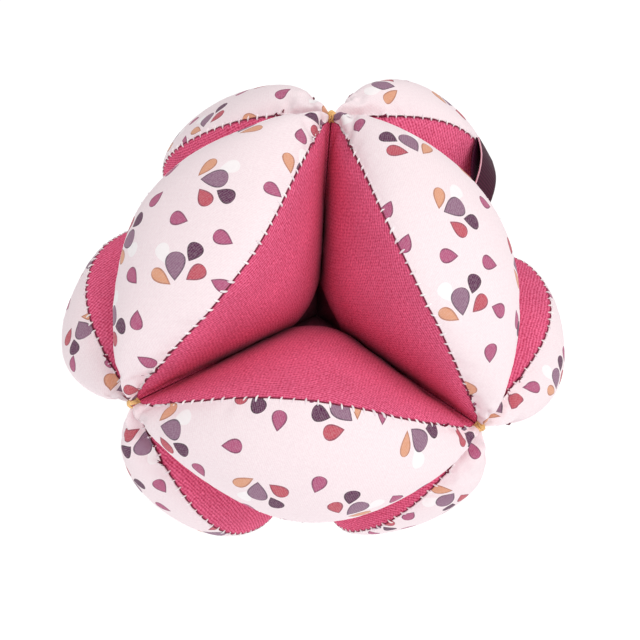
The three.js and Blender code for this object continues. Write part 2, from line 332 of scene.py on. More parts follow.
def spline_weights(places, count):
    """Weights that read a smooth line through `count` numbered stations at the given places."""
    first = np.floor(places).clip(0, count - 2).astype(int)
    t = places - first
    shares = [-t + 2 * t**2 - t**3, 2 - 5 * t**2 + 3 * t**3, t + 4 * t**2 - 3 * t**3, t**3 - t**2]
    weights = np.zeros((len(places), count + 2))
    for offset, share in enumerate(shares):
        weights[np.arange(len(places)), first + offset] += share / 2
    inner = weights[:, 1:-1].copy()
    for outside, edge, beyond in ((0, 0, 1), (-1, -1, -2)):  # the line runs straight on past its ends
        inner[:, edge] += 2 * weights[:, outside]
        inner[:, beyond] -= weights[:, outside]
    return inner


def finer(coarse, places_along, places_across):
    """A coarse grid of values read at finer stations."""
    along = spline_weights(places_along, coarse.shape[0])
    across = spline_weights(places_across, coarse.shape[1])
    return np.einsum("ia,jb,abk->ijk", along, across, coarse)


# ---- stations ----

def eased(count):
    """Stations from 0 to 1 that lie a little closer at both ends."""
    even = np.linspace(0, 1, count)
    return 0.75 * even + 0.25 * (1 - np.cos(np.pi * even)) / 2


US_SIM, US = eased(SIM_ALONG), eased(FINE_ALONG)
TS_SIM = np.linspace(SIDE_ROOT, 1, SIM_SIDE)
WS_SIM = np.linspace(-1, 1, SIM_CROWN)
WS = np.sin(np.linspace(-1, 1, FINE_CROWN) * np.pi / 2)
TS = np.concatenate([np.linspace(0, 0.91, FINE_SIDE), [0.94, 0.962, 0.978, 0.988, 0.995, 1]])
FROM_TIP = np.minimum(US, 1 - US)
UNDER_COLUMNS = np.arange(0, FINE_CROWN, 2)  # the hidden layers keep every other line of the crown


def station_places(fine, coarse):
    return np.interp(fine, coarse, np.arange(len(coarse)))


# ---- stuffing: a cloth simulation of each segment's skin ----

SIM_SCALE = 10  # the solver behaves best on cloth about a metre across
SIM_FRAMES = 20
SIM_PRESSURE = 4.0
SIM_PUFF = 4.4  # the sides start flatter than they end, because the pressure fills them
SIM_CAP = 1.6  # how far a point may end from the segment's own shape, in millimetres
SLACK_SHARE = 0.01  # the cloth is cut this much larger than the form
RUMPLE = 0.4  # unevenness that the cloth starts with, in millimetres
SEAM_HOLD = 0.8


def skin_grid(us, ts, ws, puff=SIDE_PUFF):
    """One grid over a whole segment: side, crown, side."""
    left, right = side(us, ts, -1, puff), side(us, ts, 1, puff)[:, ::-1]
    return np.concatenate([left, crown(us, ws)[:, 1:-1], right], axis=1)


def rumpled(shape, rng):
    """Random numbers over a grid, evened out with their neighbours."""
    loose = rng.normal(0, 1, shape)
    for _ in range(4):
        loose = (loose + np.roll(loose, (1, 0), (0, 1)) + np.roll(loose, (-1, 0), (0, 1))
                 + np.roll(loose, (0, 1), (0, 1)) + np.roll(loose, (0, -1), (0, 1))) / 5
    return loose


def cloth_skin(start, pinned):
    """The coarse skin as an object with cloth that fills under pressure, its ends and its inner
    edges pinned and its two seams held firm."""
    n, m = pinned.shape
    corners = np.arange(n * m).reshape(n, m)
    quads = np.stack([corners[:-1, :-1], corners[1:, :-1], corners[1:, 1:], corners[:-1, 1:]], -1)
    mesh = bpy.data.meshes.new("stuffing")
    mesh.from_pydata((start.reshape(-1, 3) * MM * SIM_SCALE).tolist(), [], quads.reshape(-1, 4).tolist())
    crown_face = mesh.polygons[(n // 2) * (m - 1) + m // 2]
    if crown_face.normal.dot(Vector((1, 1, 0))) < 0:
        mesh.flip_normals()
    skin = placed("stuffing", mesh)
    hold = skin.vertex_groups.new(name="hold")
    hold.add(corners[pinned].tolist(), 1.0, "REPLACE")
    for seam in (SIM_SIDE - 1, m - SIM_SIDE):
        hold.add(corners[1:-1, seam].tolist(), SEAM_HOLD, "REPLACE")
    settings = skin.modifiers.new("cloth", "CLOTH").settings
    settings.quality = 5
    settings.mass = 0.1
    settings.tension_stiffness = settings.compression_stiffness = 40
    settings.bending_stiffness = 0.4
    settings.use_pressure = True
    settings.uniform_pressure_force = SIM_PRESSURE
    settings.shrink_min = -SLACK_SHARE
    settings.vertex_group_mass = "hold"
    settings.effector_weights.gravity = 0
    return skin


def stuffed(seed):
    """How far each point of the coarse skin ends from the segment's own shape once it is filled, in
    millimetres. The tips don't move."""
    us = US_SIM[1:-1]
    target = skin_grid(us, TS_SIM, WS_SIM)
    n, m = target.shape[:2]
    start = skin_grid(us, TS_SIM, WS_SIM, SIM_PUFF)
    start += slopes(start)[2] * rumpled((n, m), np.random.default_rng(seed))[..., None] * RUMPLE
    pinned = np.zeros((n, m), bool)
    pinned[[0, -1]] = True
    pinned[:, [0, 1, -2, -1]] = True
    skin = cloth_skin(start, pinned)
    for step in range(1, SIM_FRAMES + 1):
        bpy.context.scene.frame_set(step)
    filled = np.zeros(n * m * 3)
    drawn = skin.evaluated_get(bpy.context.evaluated_depsgraph_get())
    drawn.data.vertices.foreach_get("co", filled)
    mesh = skin.data
    bpy.data.objects.remove(skin)
    bpy.data.meshes.remove(mesh)
    moved = filled.reshape(n, m, 3) / (MM * SIM_SCALE) - target
    reach = np.linalg.norm(moved, axis=-1, keepdims=True).clip(1e-9)
    return np.pad(moved * SIM_CAP * np.tanh(reach / SIM_CAP) / reach, ((1, 1), (0, 0), (0, 0)))


# ---- unevenness of handwork ----

def bearing(points, direction):
    """Angle between each point and a direction, from the ball's centre."""
    length = np.linalg.norm(points, axis=-1).clip(1e-9)
    return np.arccos(np.clip(points @ direction / length, -1, 1))


def settled(points):
    """Points of the ball, from its centre, moved by uneven stuffing and tying."""
    share = np.linalg.norm(points, axis=-1, keepdims=True) / CROWN_R
    moved = points.copy()
    for tip, pull in TIP_PULL.items():
        near = np.exp(-((bearing(points, TIPS[tip]) / PULL_SPREAD) ** 2))[..., None]
        moved += near * share * np.array(pull)
    for tip_x, tip_y, swell, lean, slide, wider, rock, roll, turn in SEGMENTS.values():
        middle, along = unit(TIPS[tip_x] + TIPS[tip_y]), unit(TIPS[tip_y] - TIPS[tip_x])
        beside = np.cross(middle, along)
        near = np.exp(-((bearing(points, middle) / SWELL_SPREAD) ** 2))[..., None]
        moved += near * share * (swell * middle + lean * beside + slide * along)
        moved += near * wider / 100 * (points @ beside)[..., None] * beside
        tilt = math.radians(roll) * along - math.radians(rock) * beside
        moved += near * share**2 * np.cross(points - CROWN_R * middle, tilt)
        moved += near * math.radians(turn) * np.cross(middle, points)
    return moved


def in_ball(local, name):
    """Points of a segment's own frame, placed in the ball and rested on the floor, in millimetres."""
    tip_x, tip_y = SEGMENTS[name][:2]
    axes = np.stack([TIPS[tip_x], TIPS[tip_y], np.cross(TIPS[tip_x], TIPS[tip_y])])
    rested = settled(local @ axes) + CENTRE
    rested[..., 2] = rested[..., 2].clip(0)
    return rested


# ---- seams, pleats and the shown shape ----

PLEATS = (-0.68, -0.3, 0.1, 0.42, 0.66)  # radians round the tie, from the segment's plane
PLEAT_DEEP, PLEAT_SHALLOW = 0.9, 0.45
OUTWARD = {0: np.array([1.0, 1, 0]), -1: np.array([0.0, 0, -1]), 1: np.array([0.0, 0, 1])}


def pleats_of(name):
    """Pleats that run out of both ties of a segment, as rows of: tip (0 or 1), bearing round the tie
    in radians from the segment's plane, half width in radians, height and length in millimetres. The
    raspberry sides are pleated deeper than the print."""
    rng = np.random.default_rng(sum(map(ord, name)))
    rows = []
    for tip in (0, 1):
        for place in PLEATS:
            deep = PLEAT_DEEP if abs(place) > 0.5 else PLEAT_SHALLOW
            rows.append((tip, place + rng.uniform(-0.08, 0.08), rng.uniform(0.09, 0.15),
                         deep * rng.uniform(-1, 0.6), rng.uniform(6, 13)))
    return rows


def pleat_lift(points, rows):
    """How far the pleats round both tips lift or sink each point."""
    lift = np.zeros(points.shape[:-1])
    for tip, place, width, height, length in rows:
        out, beside = (points[..., 0], points[..., 1]) if tip == 0 else (points[..., 1], points[..., 0])
        away = np.sqrt((out - TIP_R) ** 2 + beside**2 + points[..., 2] ** 2)
        round_tie = np.arctan2(points[..., 2], beside.clip(1e-3))
        across = np.exp(-(((round_tie - place) / width) ** 2))
        lift += height * across * np.exp(-((away / length) ** 2)) * smooth(away, 0, 5)
    return lift * smooth(np.abs(points[..., 2]), 0, 1.2)  # still on the line where four tips meet


def stitch_places(seam):
    """Where each station of a seam lies between two edge stitches, as whole numbers at the stitches,
    and the number of spaces between stitches."""
    length = run_length(seam, 0)
    first, last = np.interp([STITCH_END, 1 - STITCH_END], US, length)
    count = round((last - first) / STITCH_PITCH)
    return (length - first) / (last - first) * count, count


def seam_dip(grid, column):
    """How deep the cloth sinks towards a seam, most of all where each edge stitch pulls it in."""
    seam = grid[:, column]
    phase, count = stitch_places(seam)
    away = np.linalg.norm(grid - seam[:, None], axis=-1)
    stitched = smooth(phase, -0.5, 0.5) * (1 - smooth(phase, count - 0.5, count + 0.5))
    pull = STITCH_PULL * stitched * (0.5 + 0.5 * np.cos(2 * np.pi * phase))
    sunk = SEAM_DIP * np.exp(-((away / SEAM_REACH) ** 2))
    return pull[:, None] * np.exp(-away / STITCH_REACH) + sunk


def turned_to_seam(normal, grid, column, seam_normal):
    """Normals that turn into the seam's own normal as they near it, over at most 2 millimetres."""
    away = np.linalg.norm(grid - grid[:, column][:, None], axis=-1)
    reach = np.minimum(TURN_REACH, TURN_SHARE * seam_half_width(US)) + 0.05
    share = np.exp(-away / reach[:, None])[..., None]
    return units(normal * (1 - share) + seam_normal[:, None] * share)


def turned_under(grid, column, outward, back, radius, degrees):
    """A grid whose edge is drawn back from the seam, and the lines of points that roll from that
    edge down and under the cloth."""
    inner = 3 if column == 0 else -4
    out = units(grid[:, column] - grid[:, inner])
    up = facing(units(np.cross(np.gradient(grid[:, column], axis=0), out)), outward)
    away = np.linalg.norm(grid - grid[:, column][:, None], axis=-1)
    share = back[:, None] * np.exp(-away / EDGE_REACH)
    drawn = grid - out[:, None] * share[..., None]
    lines = []
    for angle in np.radians(degrees):
        roll = up * (np.cos(angle) - 1) + out * np.sin(angle)
        lines.append(drawn[:, column] + roll * radius[:, None])
    return drawn, np.stack(lines, 1)


def segment_cloth(name, seed):
    """The filled skin of a segment at the fine stations, in its own frame: the crown (0) and the
    two sides (-1, 1), with the normals of the two seams and of the crown before it is pleated."""
    moved = stuffed(seed)
    along = station_places(US, US_SIM)
    cloth = {
        0: crown(US, WS) + finer(moved[:, SIM_SIDE - 1:1 - SIM_SIDE], along, station_places(WS, WS_SIM)),
        -1: side(US, TS, -1) + finer(moved[:, :SIM_SIDE], along, station_places(TS, TS_SIM)),
        1: side(US, TS, 1) + finer(moved[:, ::-1][:, :SIM_SIDE], along, station_places(TS, TS_SIM)),
    }
    normals = {k: facing(slopes(cloth[k])[2], OUTWARD[k]) for k in cloth}
    gathered = 1 - smooth(FROM_TIP, *CROWN_OPENS)[:, None, None]
    crown_normals = units(normals[0] * (1 - gathered) + from_core(cloth[0]) * gathered)
    normals[0] = crown_normals
    seam_normals = {}
    for sign, column in ((-1, 0), (1, -1)):
        seam_normals[sign] = units(normals[0][:, column] + normals[sign][:, -1])
        normals[sign] = turned_to_seam(normals[sign], cloth[sign], -1, seam_normals[sign])
        normals[0] = turned_to_seam(normals[0], cloth[0], column, seam_normals[sign])
    rows = pleats_of(name)
    still_tips = smooth(FROM_TIP, *TIP_LOOSENS)[:, None]
    for k in cloth:
        dip = seam_dip(cloth[k], -1)
        if k == 0:
            dip = np.maximum(dip, seam_dip(cloth[k], 0))
        lift = (pleat_lift(cloth[k], rows) - dip) * still_tips
        cloth[k] = within_contact(cloth[k] + normals[k] * lift[..., None])
    return cloth, seam_normals, crown_normals


def closed_shell(name, rings, maps, edges, capped):
    """A closed mesh over rings of points, one ring for each station, with cloth coordinates in
    millimetres and the painted shade on each point. Capped ends close on a point; other ends have
    already drawn together."""
    n, m = rings.shape[:2]
    corners = np.arange(n * m).reshape(n, m)
    beside = np.roll(corners, -1, axis=1)
    quads = np.stack([corners[:-1], corners[1:], beside[1:], beside[:-1]], -1).reshape(-1, 4)
    points, places, edges = rings.reshape(-1, 3), maps.reshape(-1, 2), edges.ravel()
    faces = quads.tolist()
    if capped:
        for end, order in ((0, 1), (n - 1, -1)):
            middle = len(points)
            points = np.vstack([points, rings[end].mean(0)])
            places = np.vstack([places, maps[end].mean(0)])
            edges = np.append(edges, 0.0)
            pairs = np.stack([corners[end], beside[end]], 1)[:, ::order]
            faces += [[int(a), int(b), middle] for a, b in pairs]
    mesh = bpy.data.meshes.new(name)
    mesh.from_pydata((points * MM).tolist(), [], faces)
    layer = mesh.uv_layers.new(name=CLOTH_MAP)
    loops = np.zeros(len(mesh.loops), int)
    mesh.loops.foreach_get("vertex_index", loops)
    layer.uv.foreach_set("vector", places[loops].astype(np.float32).ravel())
    mesh.attributes.new(PAINTED_SHADE_MAP, "FLOAT", "POINT").data.foreach_set("value", edges.astype(np.float32))
    tidied(mesh)
    return placed(name, mesh)


def tidied(mesh):
    """Merges points that meet, turns the faces outwards and shades them smooth."""
    work = bmesh.new()
    work.from_mesh(mesh)
    bmesh.ops.remove_doubles(work, verts=work.verts, dist=MERGE)
    bmesh.ops.recalc_face_normals(work, faces=work.faces)
    if work.calc_volume(signed=True) < 0:
        bmesh.ops.reverse_faces(work, faces=work.faces)
    work.to_mesh(mesh)
    work.free()
    mesh.shade_smooth()


def unrolled_side(grid, turn, shift):
    """Cloth coordinates of a side: its lines from the centre laid out flat, then turned so that each
    side is cut in its own direction of the weave."""
    length = run_length(grid, 1) + np.linalg.norm(grid[:, 0], axis=-1)[:, None]
    angle = (US * np.pi / 2 + turn)[:, None]
    return np.stack([length * np.cos(angle), length * np.sin(angle)], -1) + shift


def unrolled_crown(grid, turn, shift):
    """Cloth coordinates of a panel: the length of its middle line, and the distance across from it."""
    middle = len(WS) // 2
    along = run_length(grid[:, middle][:, None], 0)
    across = run_length(grid, 1)
    across = across - across[:, middle][:, None]
    along = np.broadcast_to(along, across.shape)
    cos, sin = math.cos(turn), math.sin(turn)
    return np.stack([along * cos - across * sin, along * sin + across * cos], -1) + shift


def make_segment(name, seed):
    """Makes the pouch and the printed panel of one segment. Returns them, with the stitch places of
    both seams and the size that the panel was cut to."""
    rng = np.random.default_rng(seed)
    cloth, seam_normals, crown_normals = segment_cloth(name, seed)
    narrow = smooth(seam_half_width(US), 0, NARROW)
    radius = CLOTH / 2 * narrow
    top, halves, half_maps, half_shades, rolls, stitches = cloth[0], {}, {}, {}, {}, []

    for sign, column in ((-1, 0), (1, -1)):
        seam = cloth[sign][:, -1]
        phase, count = stitch_places(seam)
        tooth = SEAM_TOOTH * np.cos(2 * np.pi * phase) * narrow
        back = SEAM_GROOVE / 2 * narrow + radius
        over, out = slopes(cloth[0])[1][:, column] * (1 if column else -1), seam_normals[sign]
        for number in range(count + 1):
            places = [np.interp(number, phase, line) for line in (*seam.T, *out.T, *over.T)]
            stitches.append(np.reshape(places, (3, 3)))

        turned, roll = turned_under(cloth[sign], -1, OUTWARD[sign], back + tooth, radius, POUCH_ROLL)
        bias = rng.uniform(0.2, 0.5) * sign
        flat = unrolled_side(turned, bias, rng.uniform(-CLOTH_SHIFT, CLOTH_SHIFT, 2))
        from_edge = np.linalg.norm(turned - turned[:, -1:], axis=-1)
        halves[sign] = np.concatenate([turned, roll], axis=1)
        half_maps[sign] = np.concatenate([flat, np.repeat(flat[:, -1:], roll.shape[1], axis=1)], axis=1)
        # painted shade on a side: where it presses against the next pouch, deep near the centre, and
        # where it turns into the seam; its turned edge is shaded all over
        hidden = np.maximum(shade_where_pressed(turned), 1 - smooth(TS, *CENTRE_SHADE))
        hidden = np.maximum(hidden, PAINTED_EDGE_SHADE * np.exp(-from_edge / EDGE_SHADE_REACH))
        half_shades[sign] = np.concatenate([hidden, np.full(roll.shape[:2], PAINTED_EDGE_SHADE)], axis=1)
        top, rolls[sign] = turned_under(top, column, OUTWARD[0], back - tooth, radius, PANEL_ROLL)

    # the pouch: a side, its turned edge, the cloth under the panel, a turned edge, a side
    inward = crown_normals * narrow[:, None, None]
    under = (cloth[0] - inward * (CLOTH + UNDERLAY))[:, UNDER_COLUMNS]
    rings = np.concatenate([halves[-1], under, halves[1][:, ::-1]], axis=1)
    under_map = np.repeat(half_maps[-1][:, -1:], under.shape[1], axis=1)
    maps = np.concatenate([half_maps[-1], under_map, half_maps[1][:, ::-1]], axis=1)
    # painted shade on the cloth under the panel, which shows in the seams' grooves, fading out at the
    # tips
    folded = PAINTED_EDGE_SHADE * smooth(FROM_TIP, *UNDER_SHADE_GROWS)
    folded = np.repeat(folded[:, None], under.shape[1], axis=1)
    edges = np.concatenate([half_shades[-1], folded, half_shades[1][:, ::-1]], axis=1)
    pouch = closed_shell(f"stuffed_{name}", in_ball(within_contact(rings), name), maps, edges, False)

    # the panel: its face, a turned edge, the back of the cloth, a turned edge
    lining = (top - inward * CLOTH)[:, UNDER_COLUMNS[1:-1]]
    rings = np.concatenate([top, rolls[1], lining[:, ::-1], rolls[-1][:, ::-1]], axis=1)
    bias = rng.uniform(-0.5, 0.5)
    flat = unrolled_crown(top, bias, rng.uniform(-PRINT_SHIFT, PRINT_SHIFT, 2))
    beyond = np.arange(1, len(PANEL_ROLL) + 1)[None, :, None] * 0.2
    right = flat[:, -1:] + (flat[:, -1:] - flat[:, -2:-1]) * beyond
    left = flat[:, :1] + (flat[:, :1] - flat[:, 1:2]) * beyond
    lined = flat[:, UNDER_COLUMNS[1:-1]]
    maps = np.concatenate([flat, right, lined[:, ::-1], left[:, ::-1]], axis=1)
    shown = (US >= PANEL_END) & (US <= 1 - PANEL_END)
    edges = np.zeros(rings.shape[:2])
    panel = closed_shell(f"printed_{name}", in_ball(rings, name)[shown], maps[shown], edges[shown], True)
    cut = (run_length(top, 1)[:, -1].max(), run_length(top, 0)[-1, len(WS) // 2])
    return pouch, panel, np.array(stitches), cut


# ---- nodes ----

# Kinds of node that recur
MATH, VECTOR, MIX = "ShaderNodeMath", "ShaderNodeVectorMath", "ShaderNodeMix"
APART, TOGETHER, RANGE = "ShaderNodeSeparateXYZ", "ShaderNodeCombineXYZ", "ShaderNodeMapRange"
PLACE, NOISE, GROUP = "ShaderNodeUVMap", "ShaderNodeTexNoise", "ShaderNodeGroup"
BUMP, TUBE = "ShaderNodeBump", "GeometryNodeCurveToMesh"
RANDOM, NAMED = "FunctionNodeRandomValue", "GeometryNodeInputNamedAttribute"


def srgb(code):
    """Linear RGBA of an sRGB hex colour."""
    parts = [int(code[i:i + 2], 16) / 255 for i in (0, 2, 4)]
    return (*[p / 12.92 if p <= 0.04045 else ((p + 0.055) / 1.055) ** 2.4 for p in parts], 1.0)


def fill(tree, node, inputs):
    """Gives inputs of a node a value, a socket or a node's first output in use. A list fills the
    inputs in use, in order, and skips one for None."""
    if isinstance(inputs, dict):
        pairs = [(node.inputs[key], value) for key, value in inputs.items()]
    else:
        pairs = list(zip([socket for socket in node.inputs if socket.enabled], inputs))
    for socket, value in pairs:
        if isinstance(value, bpy.types.Node):
            value = next(output for output in value.outputs if output.enabled)
        if isinstance(value, bpy.types.NodeSocket):
            tree.links.new(value, socket)
        elif value is not None:
            socket.default_value = value


def add(tree, kind, inputs=(), operation=None, **settings):
    """Adds a node to a tree, with its settings and its inputs."""
    made = tree.nodes.new(kind)
    if operation:
        made.operation = operation
    for name, value in settings.items():
        setattr(made, name, value)
    fill(tree, made, inputs)
    return made


def new_tree(kind, name, inputs, outputs):
    """A node group with named inputs and outputs, what it is given, and its output node."""
    tree = bpy.data.node_groups.new(name, kind)
    for way, sockets in (("INPUT", inputs), ("OUTPUT", outputs)):
        for label, socket in sockets.items():
            tree.interface.new_socket(label, in_out=way, socket_type=f"NodeSocket{socket}")
    return tree, tree.nodes.new("NodeGroupInput").outputs, tree.nodes.new("NodeGroupOutput")


# ---- materials ----

def weave_group():
    """Plain weave on the cloth coordinates: warp and weft pass over each other in turn, which reads
    as two sets of diagonals, the stronger along the twist of the yarn. Each thread swells and thins
    along its length."""
    tree, given, result = new_tree("ShaderNodeTree", "plain_weave", {"Spacing": "Float"},
                                   {"Height": "Float", "Slub": "Float"})
    place = shifted = add(tree, PLACE, uv_map=CLOTH_MAP)
    for scale, reach in WEAVE_DRIFTS:
        drift = add(tree, NOISE, [place, scale, 1.0])
        centred = add(tree, VECTOR, [drift.outputs["Color"], (0.5, 0.5, 0.5)], "SUBTRACT")
        shifted = add(tree, VECTOR, [centred, (reach, reach, 0), shifted], "MULTIPLY_ADD")
    x, y, _ = add(tree, APART, [shifted]).outputs
    turn = add(tree, MATH, [math.pi, given["Spacing"]], "DIVIDE")
    waves = []
    for way, share in WEAVE_DIAGONALS:
        across = add(tree, MATH, [x, y], way)
        phase = add(tree, MATH, [across, turn], "MULTIPLY")
        wave = add(tree, MATH, [phase], "SINE")
        waves.append(add(tree, MATH, [wave, share], "MULTIPLY"))
    crossed = add(tree, MATH, waves, "ADD")
    fleck = add(tree, NOISE, [shifted, FLECK_SCALE, 1.0])
    flecks = add(tree, MATH, [fleck, 1.3, -0.15], "MULTIPLY_ADD")
    height = add(tree, MATH, [crossed, flecks], "ADD")
    slubs = []
    for stretch in SLUB_STRETCHES:
        lines = add(tree, VECTOR, [shifted, stretch], "MULTIPLY")
        slubs.append(add(tree, NOISE, [lines, 1.0, 2.0]))
    slub = add(tree, MATH, slubs, "ADD")
    fill(tree, result, [height, add(tree, MATH, [slub, 0.5], "MULTIPLY")])
    return tree


def petal_group():
    """One teardrop petal: round at one end, pointed at the other, with a thin darker outline."""
    tree, given, result = new_tree(
        "ShaderNodeTree", "petal",
        {"Place": "Vector", "Turn": "Float", "Length": "Float", "Width": "Float"},
        {"Inside": "Float", "Rim": "Float"})
    turned = add(tree, "ShaderNodeVectorRotate", {"Vector": given["Place"], "Angle": given["Turn"]},
                 rotation_type="Z_AXIS", invert=True)
    along, across, _ = add(tree, APART, [turned]).outputs
    half_length = add(tree, MATH, [given["Length"], 0.5], "MULTIPLY")
    half_width = add(tree, MATH, [given["Width"], 0.5], "MULTIPLY")
    x = add(tree, MATH, [along, half_length], "DIVIDE")
    square = add(tree, MATH, [x, x], "MULTIPLY")
    inner = add(tree, MATH, [1.0, square], "SUBTRACT", use_clamp=True)
    round_end = add(tree, MATH, [inner, 0.5], "POWER")
    taper = add(tree, MATH, [x, -0.5, 0.5], "MULTIPLY_ADD", use_clamp=True)
    point = add(tree, MATH, [taper, PETAL_TAPER], "POWER")
    outline = add(tree, MATH, [round_end, point], "MULTIPLY")
    full = add(tree, MATH, [outline, PETAL_FULL], "MULTIPLY")
    aside = add(tree, MATH, [across], "ABSOLUTE")
    y = add(tree, MATH, [aside, half_width], "DIVIDE")
    inside = add(tree, MATH, [full, y], "SUBTRACT")
    gap = add(tree, MATH, [inside, half_width], "MULTIPLY")
    filled = add(tree, RANGE, [gap, 0.0, 0.1], interpolation_type="SMOOTHSTEP")
    rim = add(tree, RANGE, [gap, *PETAL_RIM], interpolation_type="SMOOTHSTEP")
    fill(tree, result, [filled, rim])
    return tree


def scatter_group():
    """Places for a repeat on the cloth: rows that are offset by half a space, each place moved and
    turned a little at random."""
    tree, given, result = new_tree(
        "ShaderNodeTree", "scattered_repeat",
        {"Place": "Vector", "Spacing": "Float", "Wander": "Float", "Pattern": "Float"},
        {"From Centre": "Vector", "Centre": "Vector", "Chance": "Float", "Turn": "Float"})
    x, y, _ = add(tree, APART, [given["Place"]]).outputs
    rows = add(tree, MATH, [y, given["Spacing"]], "DIVIDE")
    row = add(tree, MATH, [rows], "FLOOR")
    odd = add(tree, MATH, [row, 2.0], "FLOORED_MODULO")
    shift = add(tree, MATH, [odd, 0.5], "MULTIPLY")
    columns = add(tree, MATH, [x, given["Spacing"]], "DIVIDE")
    moved = add(tree, MATH, [columns, shift], "ADD")
    column = add(tree, MATH, [moved], "FLOOR")
    cell = add(tree, TOGETHER, [column, row, given["Pattern"]])
    chance = add(tree, "ShaderNodeTexWhiteNoise", {"Vector": cell}, noise_dimensions="3D")
    middle_x = add(tree, MATH, [column, shift], "SUBTRACT")
    corner = add(tree, TOGETHER, [middle_x, row])
    middle = add(tree, VECTOR, [corner, (0.5, 0.5, 0)], "ADD")
    laid = add(tree, VECTOR, [middle, given["Spacing"]], "SCALE")
    loose = add(tree, VECTOR, [chance.outputs["Color"], (0.5, 0.5, 0.5)], "SUBTRACT")
    flat = add(tree, VECTOR, [loose, (2, 2, 0)], "MULTIPLY")
    wander = add(tree, VECTOR, [flat, given["Wander"]], "SCALE")
    centre = add(tree, VECTOR, [laid, wander], "ADD")
    away = add(tree, VECTOR, [given["Place"], centre], "SUBTRACT")
    colours = add(tree, "ShaderNodeSeparateColor", [chance.outputs["Color"]])
    turn = add(tree, MATH, [colours.outputs["Blue"], math.tau], "MULTIPLY")
    fill(tree, result, [away, centre, chance.outputs["Value"], turn])
    return tree


def new_material(name, surface):
    """A material with one Principled shader, whose own sockets are set as given."""
    material = bpy.data.materials.new(name)
    material.use_nodes = True
    tree = material.node_tree
    fill(tree, tree.nodes["Principled BSDF"], surface)
    return material, tree, tree.nodes["Principled BSDF"]


def raspberry_cotton(weave):
    """Piece-dyed plain-weave cotton: even deep pink with a fine diagonal grain where the threads
    cross, soft and matt, with shade painted in where it turns into a seam, where it presses against the
    next pouch and deep near the ball's centre."""
    material, tree, shader = new_material("raspberry_cotton", {
        "Roughness": 0.88, "Specular IOR Level": 0.2, "Sheen Weight": 0.06, "Sheen Roughness": 0.45,
        "Sheen Tint": srgb("FBC4D4")})
    height, slub = add(tree, GROUP, [WEAVE_SPACING], node_tree=weave).outputs
    grain = add(tree, MIX, [height, srgb(RASPBERRY_DEEP), srgb(RASPBERRY)], data_type="RGBA")
    place = add(tree, PLACE, uv_map=CLOTH_MAP)
    cloud = add(tree, NOISE, [place, CLOUD_SCALE, 3.0])
    uneven = add(tree, MATH, [cloud, slub], "ADD")
    value = add(tree, RANGE, [uneven, 0.6, 1.4, 0.88, 1.12])
    dyed = add(tree, "ShaderNodeHueSaturation", {"Color": grain, "Value": value})
    # painted shade: the cloth is darkened towards a deep crimson in seams, where pouches press together
    # and near the centre
    edge = add(tree, "ShaderNodeAttribute", attribute_name=PAINTED_SHADE_MAP)
    folded = add(tree, MIX, [edge.outputs["Fac"], dyed, srgb(RASPBERRY_SHADE_PAINT)], data_type="RGBA")
    raised = add(tree, BUMP, {"Height": height, "Strength": 0.6, "Distance": 0.1 * MM})
    fill(tree, shader, {"Base Color": folded, "Normal": raised})
    return material


def printed_cotton(weave, petal, scatter):
    """Fine white cotton printed with small petals: sprigs of five coloured drops round a centre and
    single mauve drops between them, each with a thin darker outline and the grain of the cloth
    showing through the ink."""
    material, tree, shader = new_material("printed_cotton", {
        "Roughness": 0.8, "Specular IOR Level": 0.3, "Sheen Weight": 0.08, "Sheen Roughness": 0.4})
    height, slub = add(tree, GROUP, [PRINT_SPACING], node_tree=weave).outputs
    place = add(tree, PLACE, uv_map=CLOTH_MAP)
    printed = add(tree, MIX, [height, srgb(GROUND_DEEP), srgb(GROUND)], data_type="RGBA")
    ink_grain = add(tree, NOISE, [place, INK_SCALE, 2.0])
    grainy = add(tree, MATH, [height, ink_grain], "ADD")
    cover = add(tree, RANGE, [grainy, 0.5, 1.4, 1.0, 0.85])
    sprig = add(tree, GROUP, [place, *SPRIG_REPEAT], node_tree=scatter)
    drop = add(tree, GROUP, [place, *DROP_REPEAT], node_tree=scatter)
    nearest = add(tree, GROUP, [drop.outputs["Centre"], *SPRIG_REPEAT], node_tree=scatter)
    clear = add(tree, VECTOR, [nearest], "LENGTH")
    allowed = add(tree, MATH, [clear, DROP_CLEARANCE], "GREATER_THAN")
    turned = add(tree, "ShaderNodeVectorRotate",
                 {"Vector": sprig, "Angle": sprig.outputs["Turn"]}, rotation_type="Z_AXIS")
    hand = add(tree, RANGE, [sprig.outputs["Chance"], 0.49, 0.51, -1.0, 1.0])  # left or right
    mirror = add(tree, TOGETHER, [1.0, hand])
    handed = add(tree, VECTOR, [turned, mirror], "MULTIPLY")

    petals = [(drop, drop.outputs["Turn"], *DROP_SIZE, DROP_INK, allowed)]
    for bearing_out, out, length, width, ink in SPRIG:
        angle = math.radians(bearing_out)
        middle = (SPRIG_STEM[0] + out * math.cos(angle), SPRIG_STEM[1] + out * math.sin(angle), 0)
        local = add(tree, VECTOR, [handed, middle], "SUBTRACT")
        petals.append((local, angle + math.pi, length, width, ink, None))
    for spot, turn, length, width, ink, where in petals:
        inside, rim = add(tree, GROUP, [spot, turn, length, width], node_tree=petal).outputs
        outlined = add(tree, MIX, [rim, srgb(ink[0]), srgb(ink[1])], data_type="RGBA")
        amount = add(tree, MATH, [inside, cover], "MULTIPLY")
        if where is not None:
            amount = add(tree, MATH, [amount, where], "MULTIPLY")
        printed = add(tree, MIX, [amount, printed, outlined], data_type="RGBA")
    lighter = add(tree, RANGE, [slub, 0.3, 0.7, 0.975, 1.025])
    toned = add(tree, "ShaderNodeHueSaturation", {"Color": printed, "Value": lighter})
    raised = add(tree, BUMP, {"Height": height, "Strength": 0.3, "Distance": 0.05 * MM})
    fill(tree, shader, {"Base Color": toned, "Normal": raised})
    return material


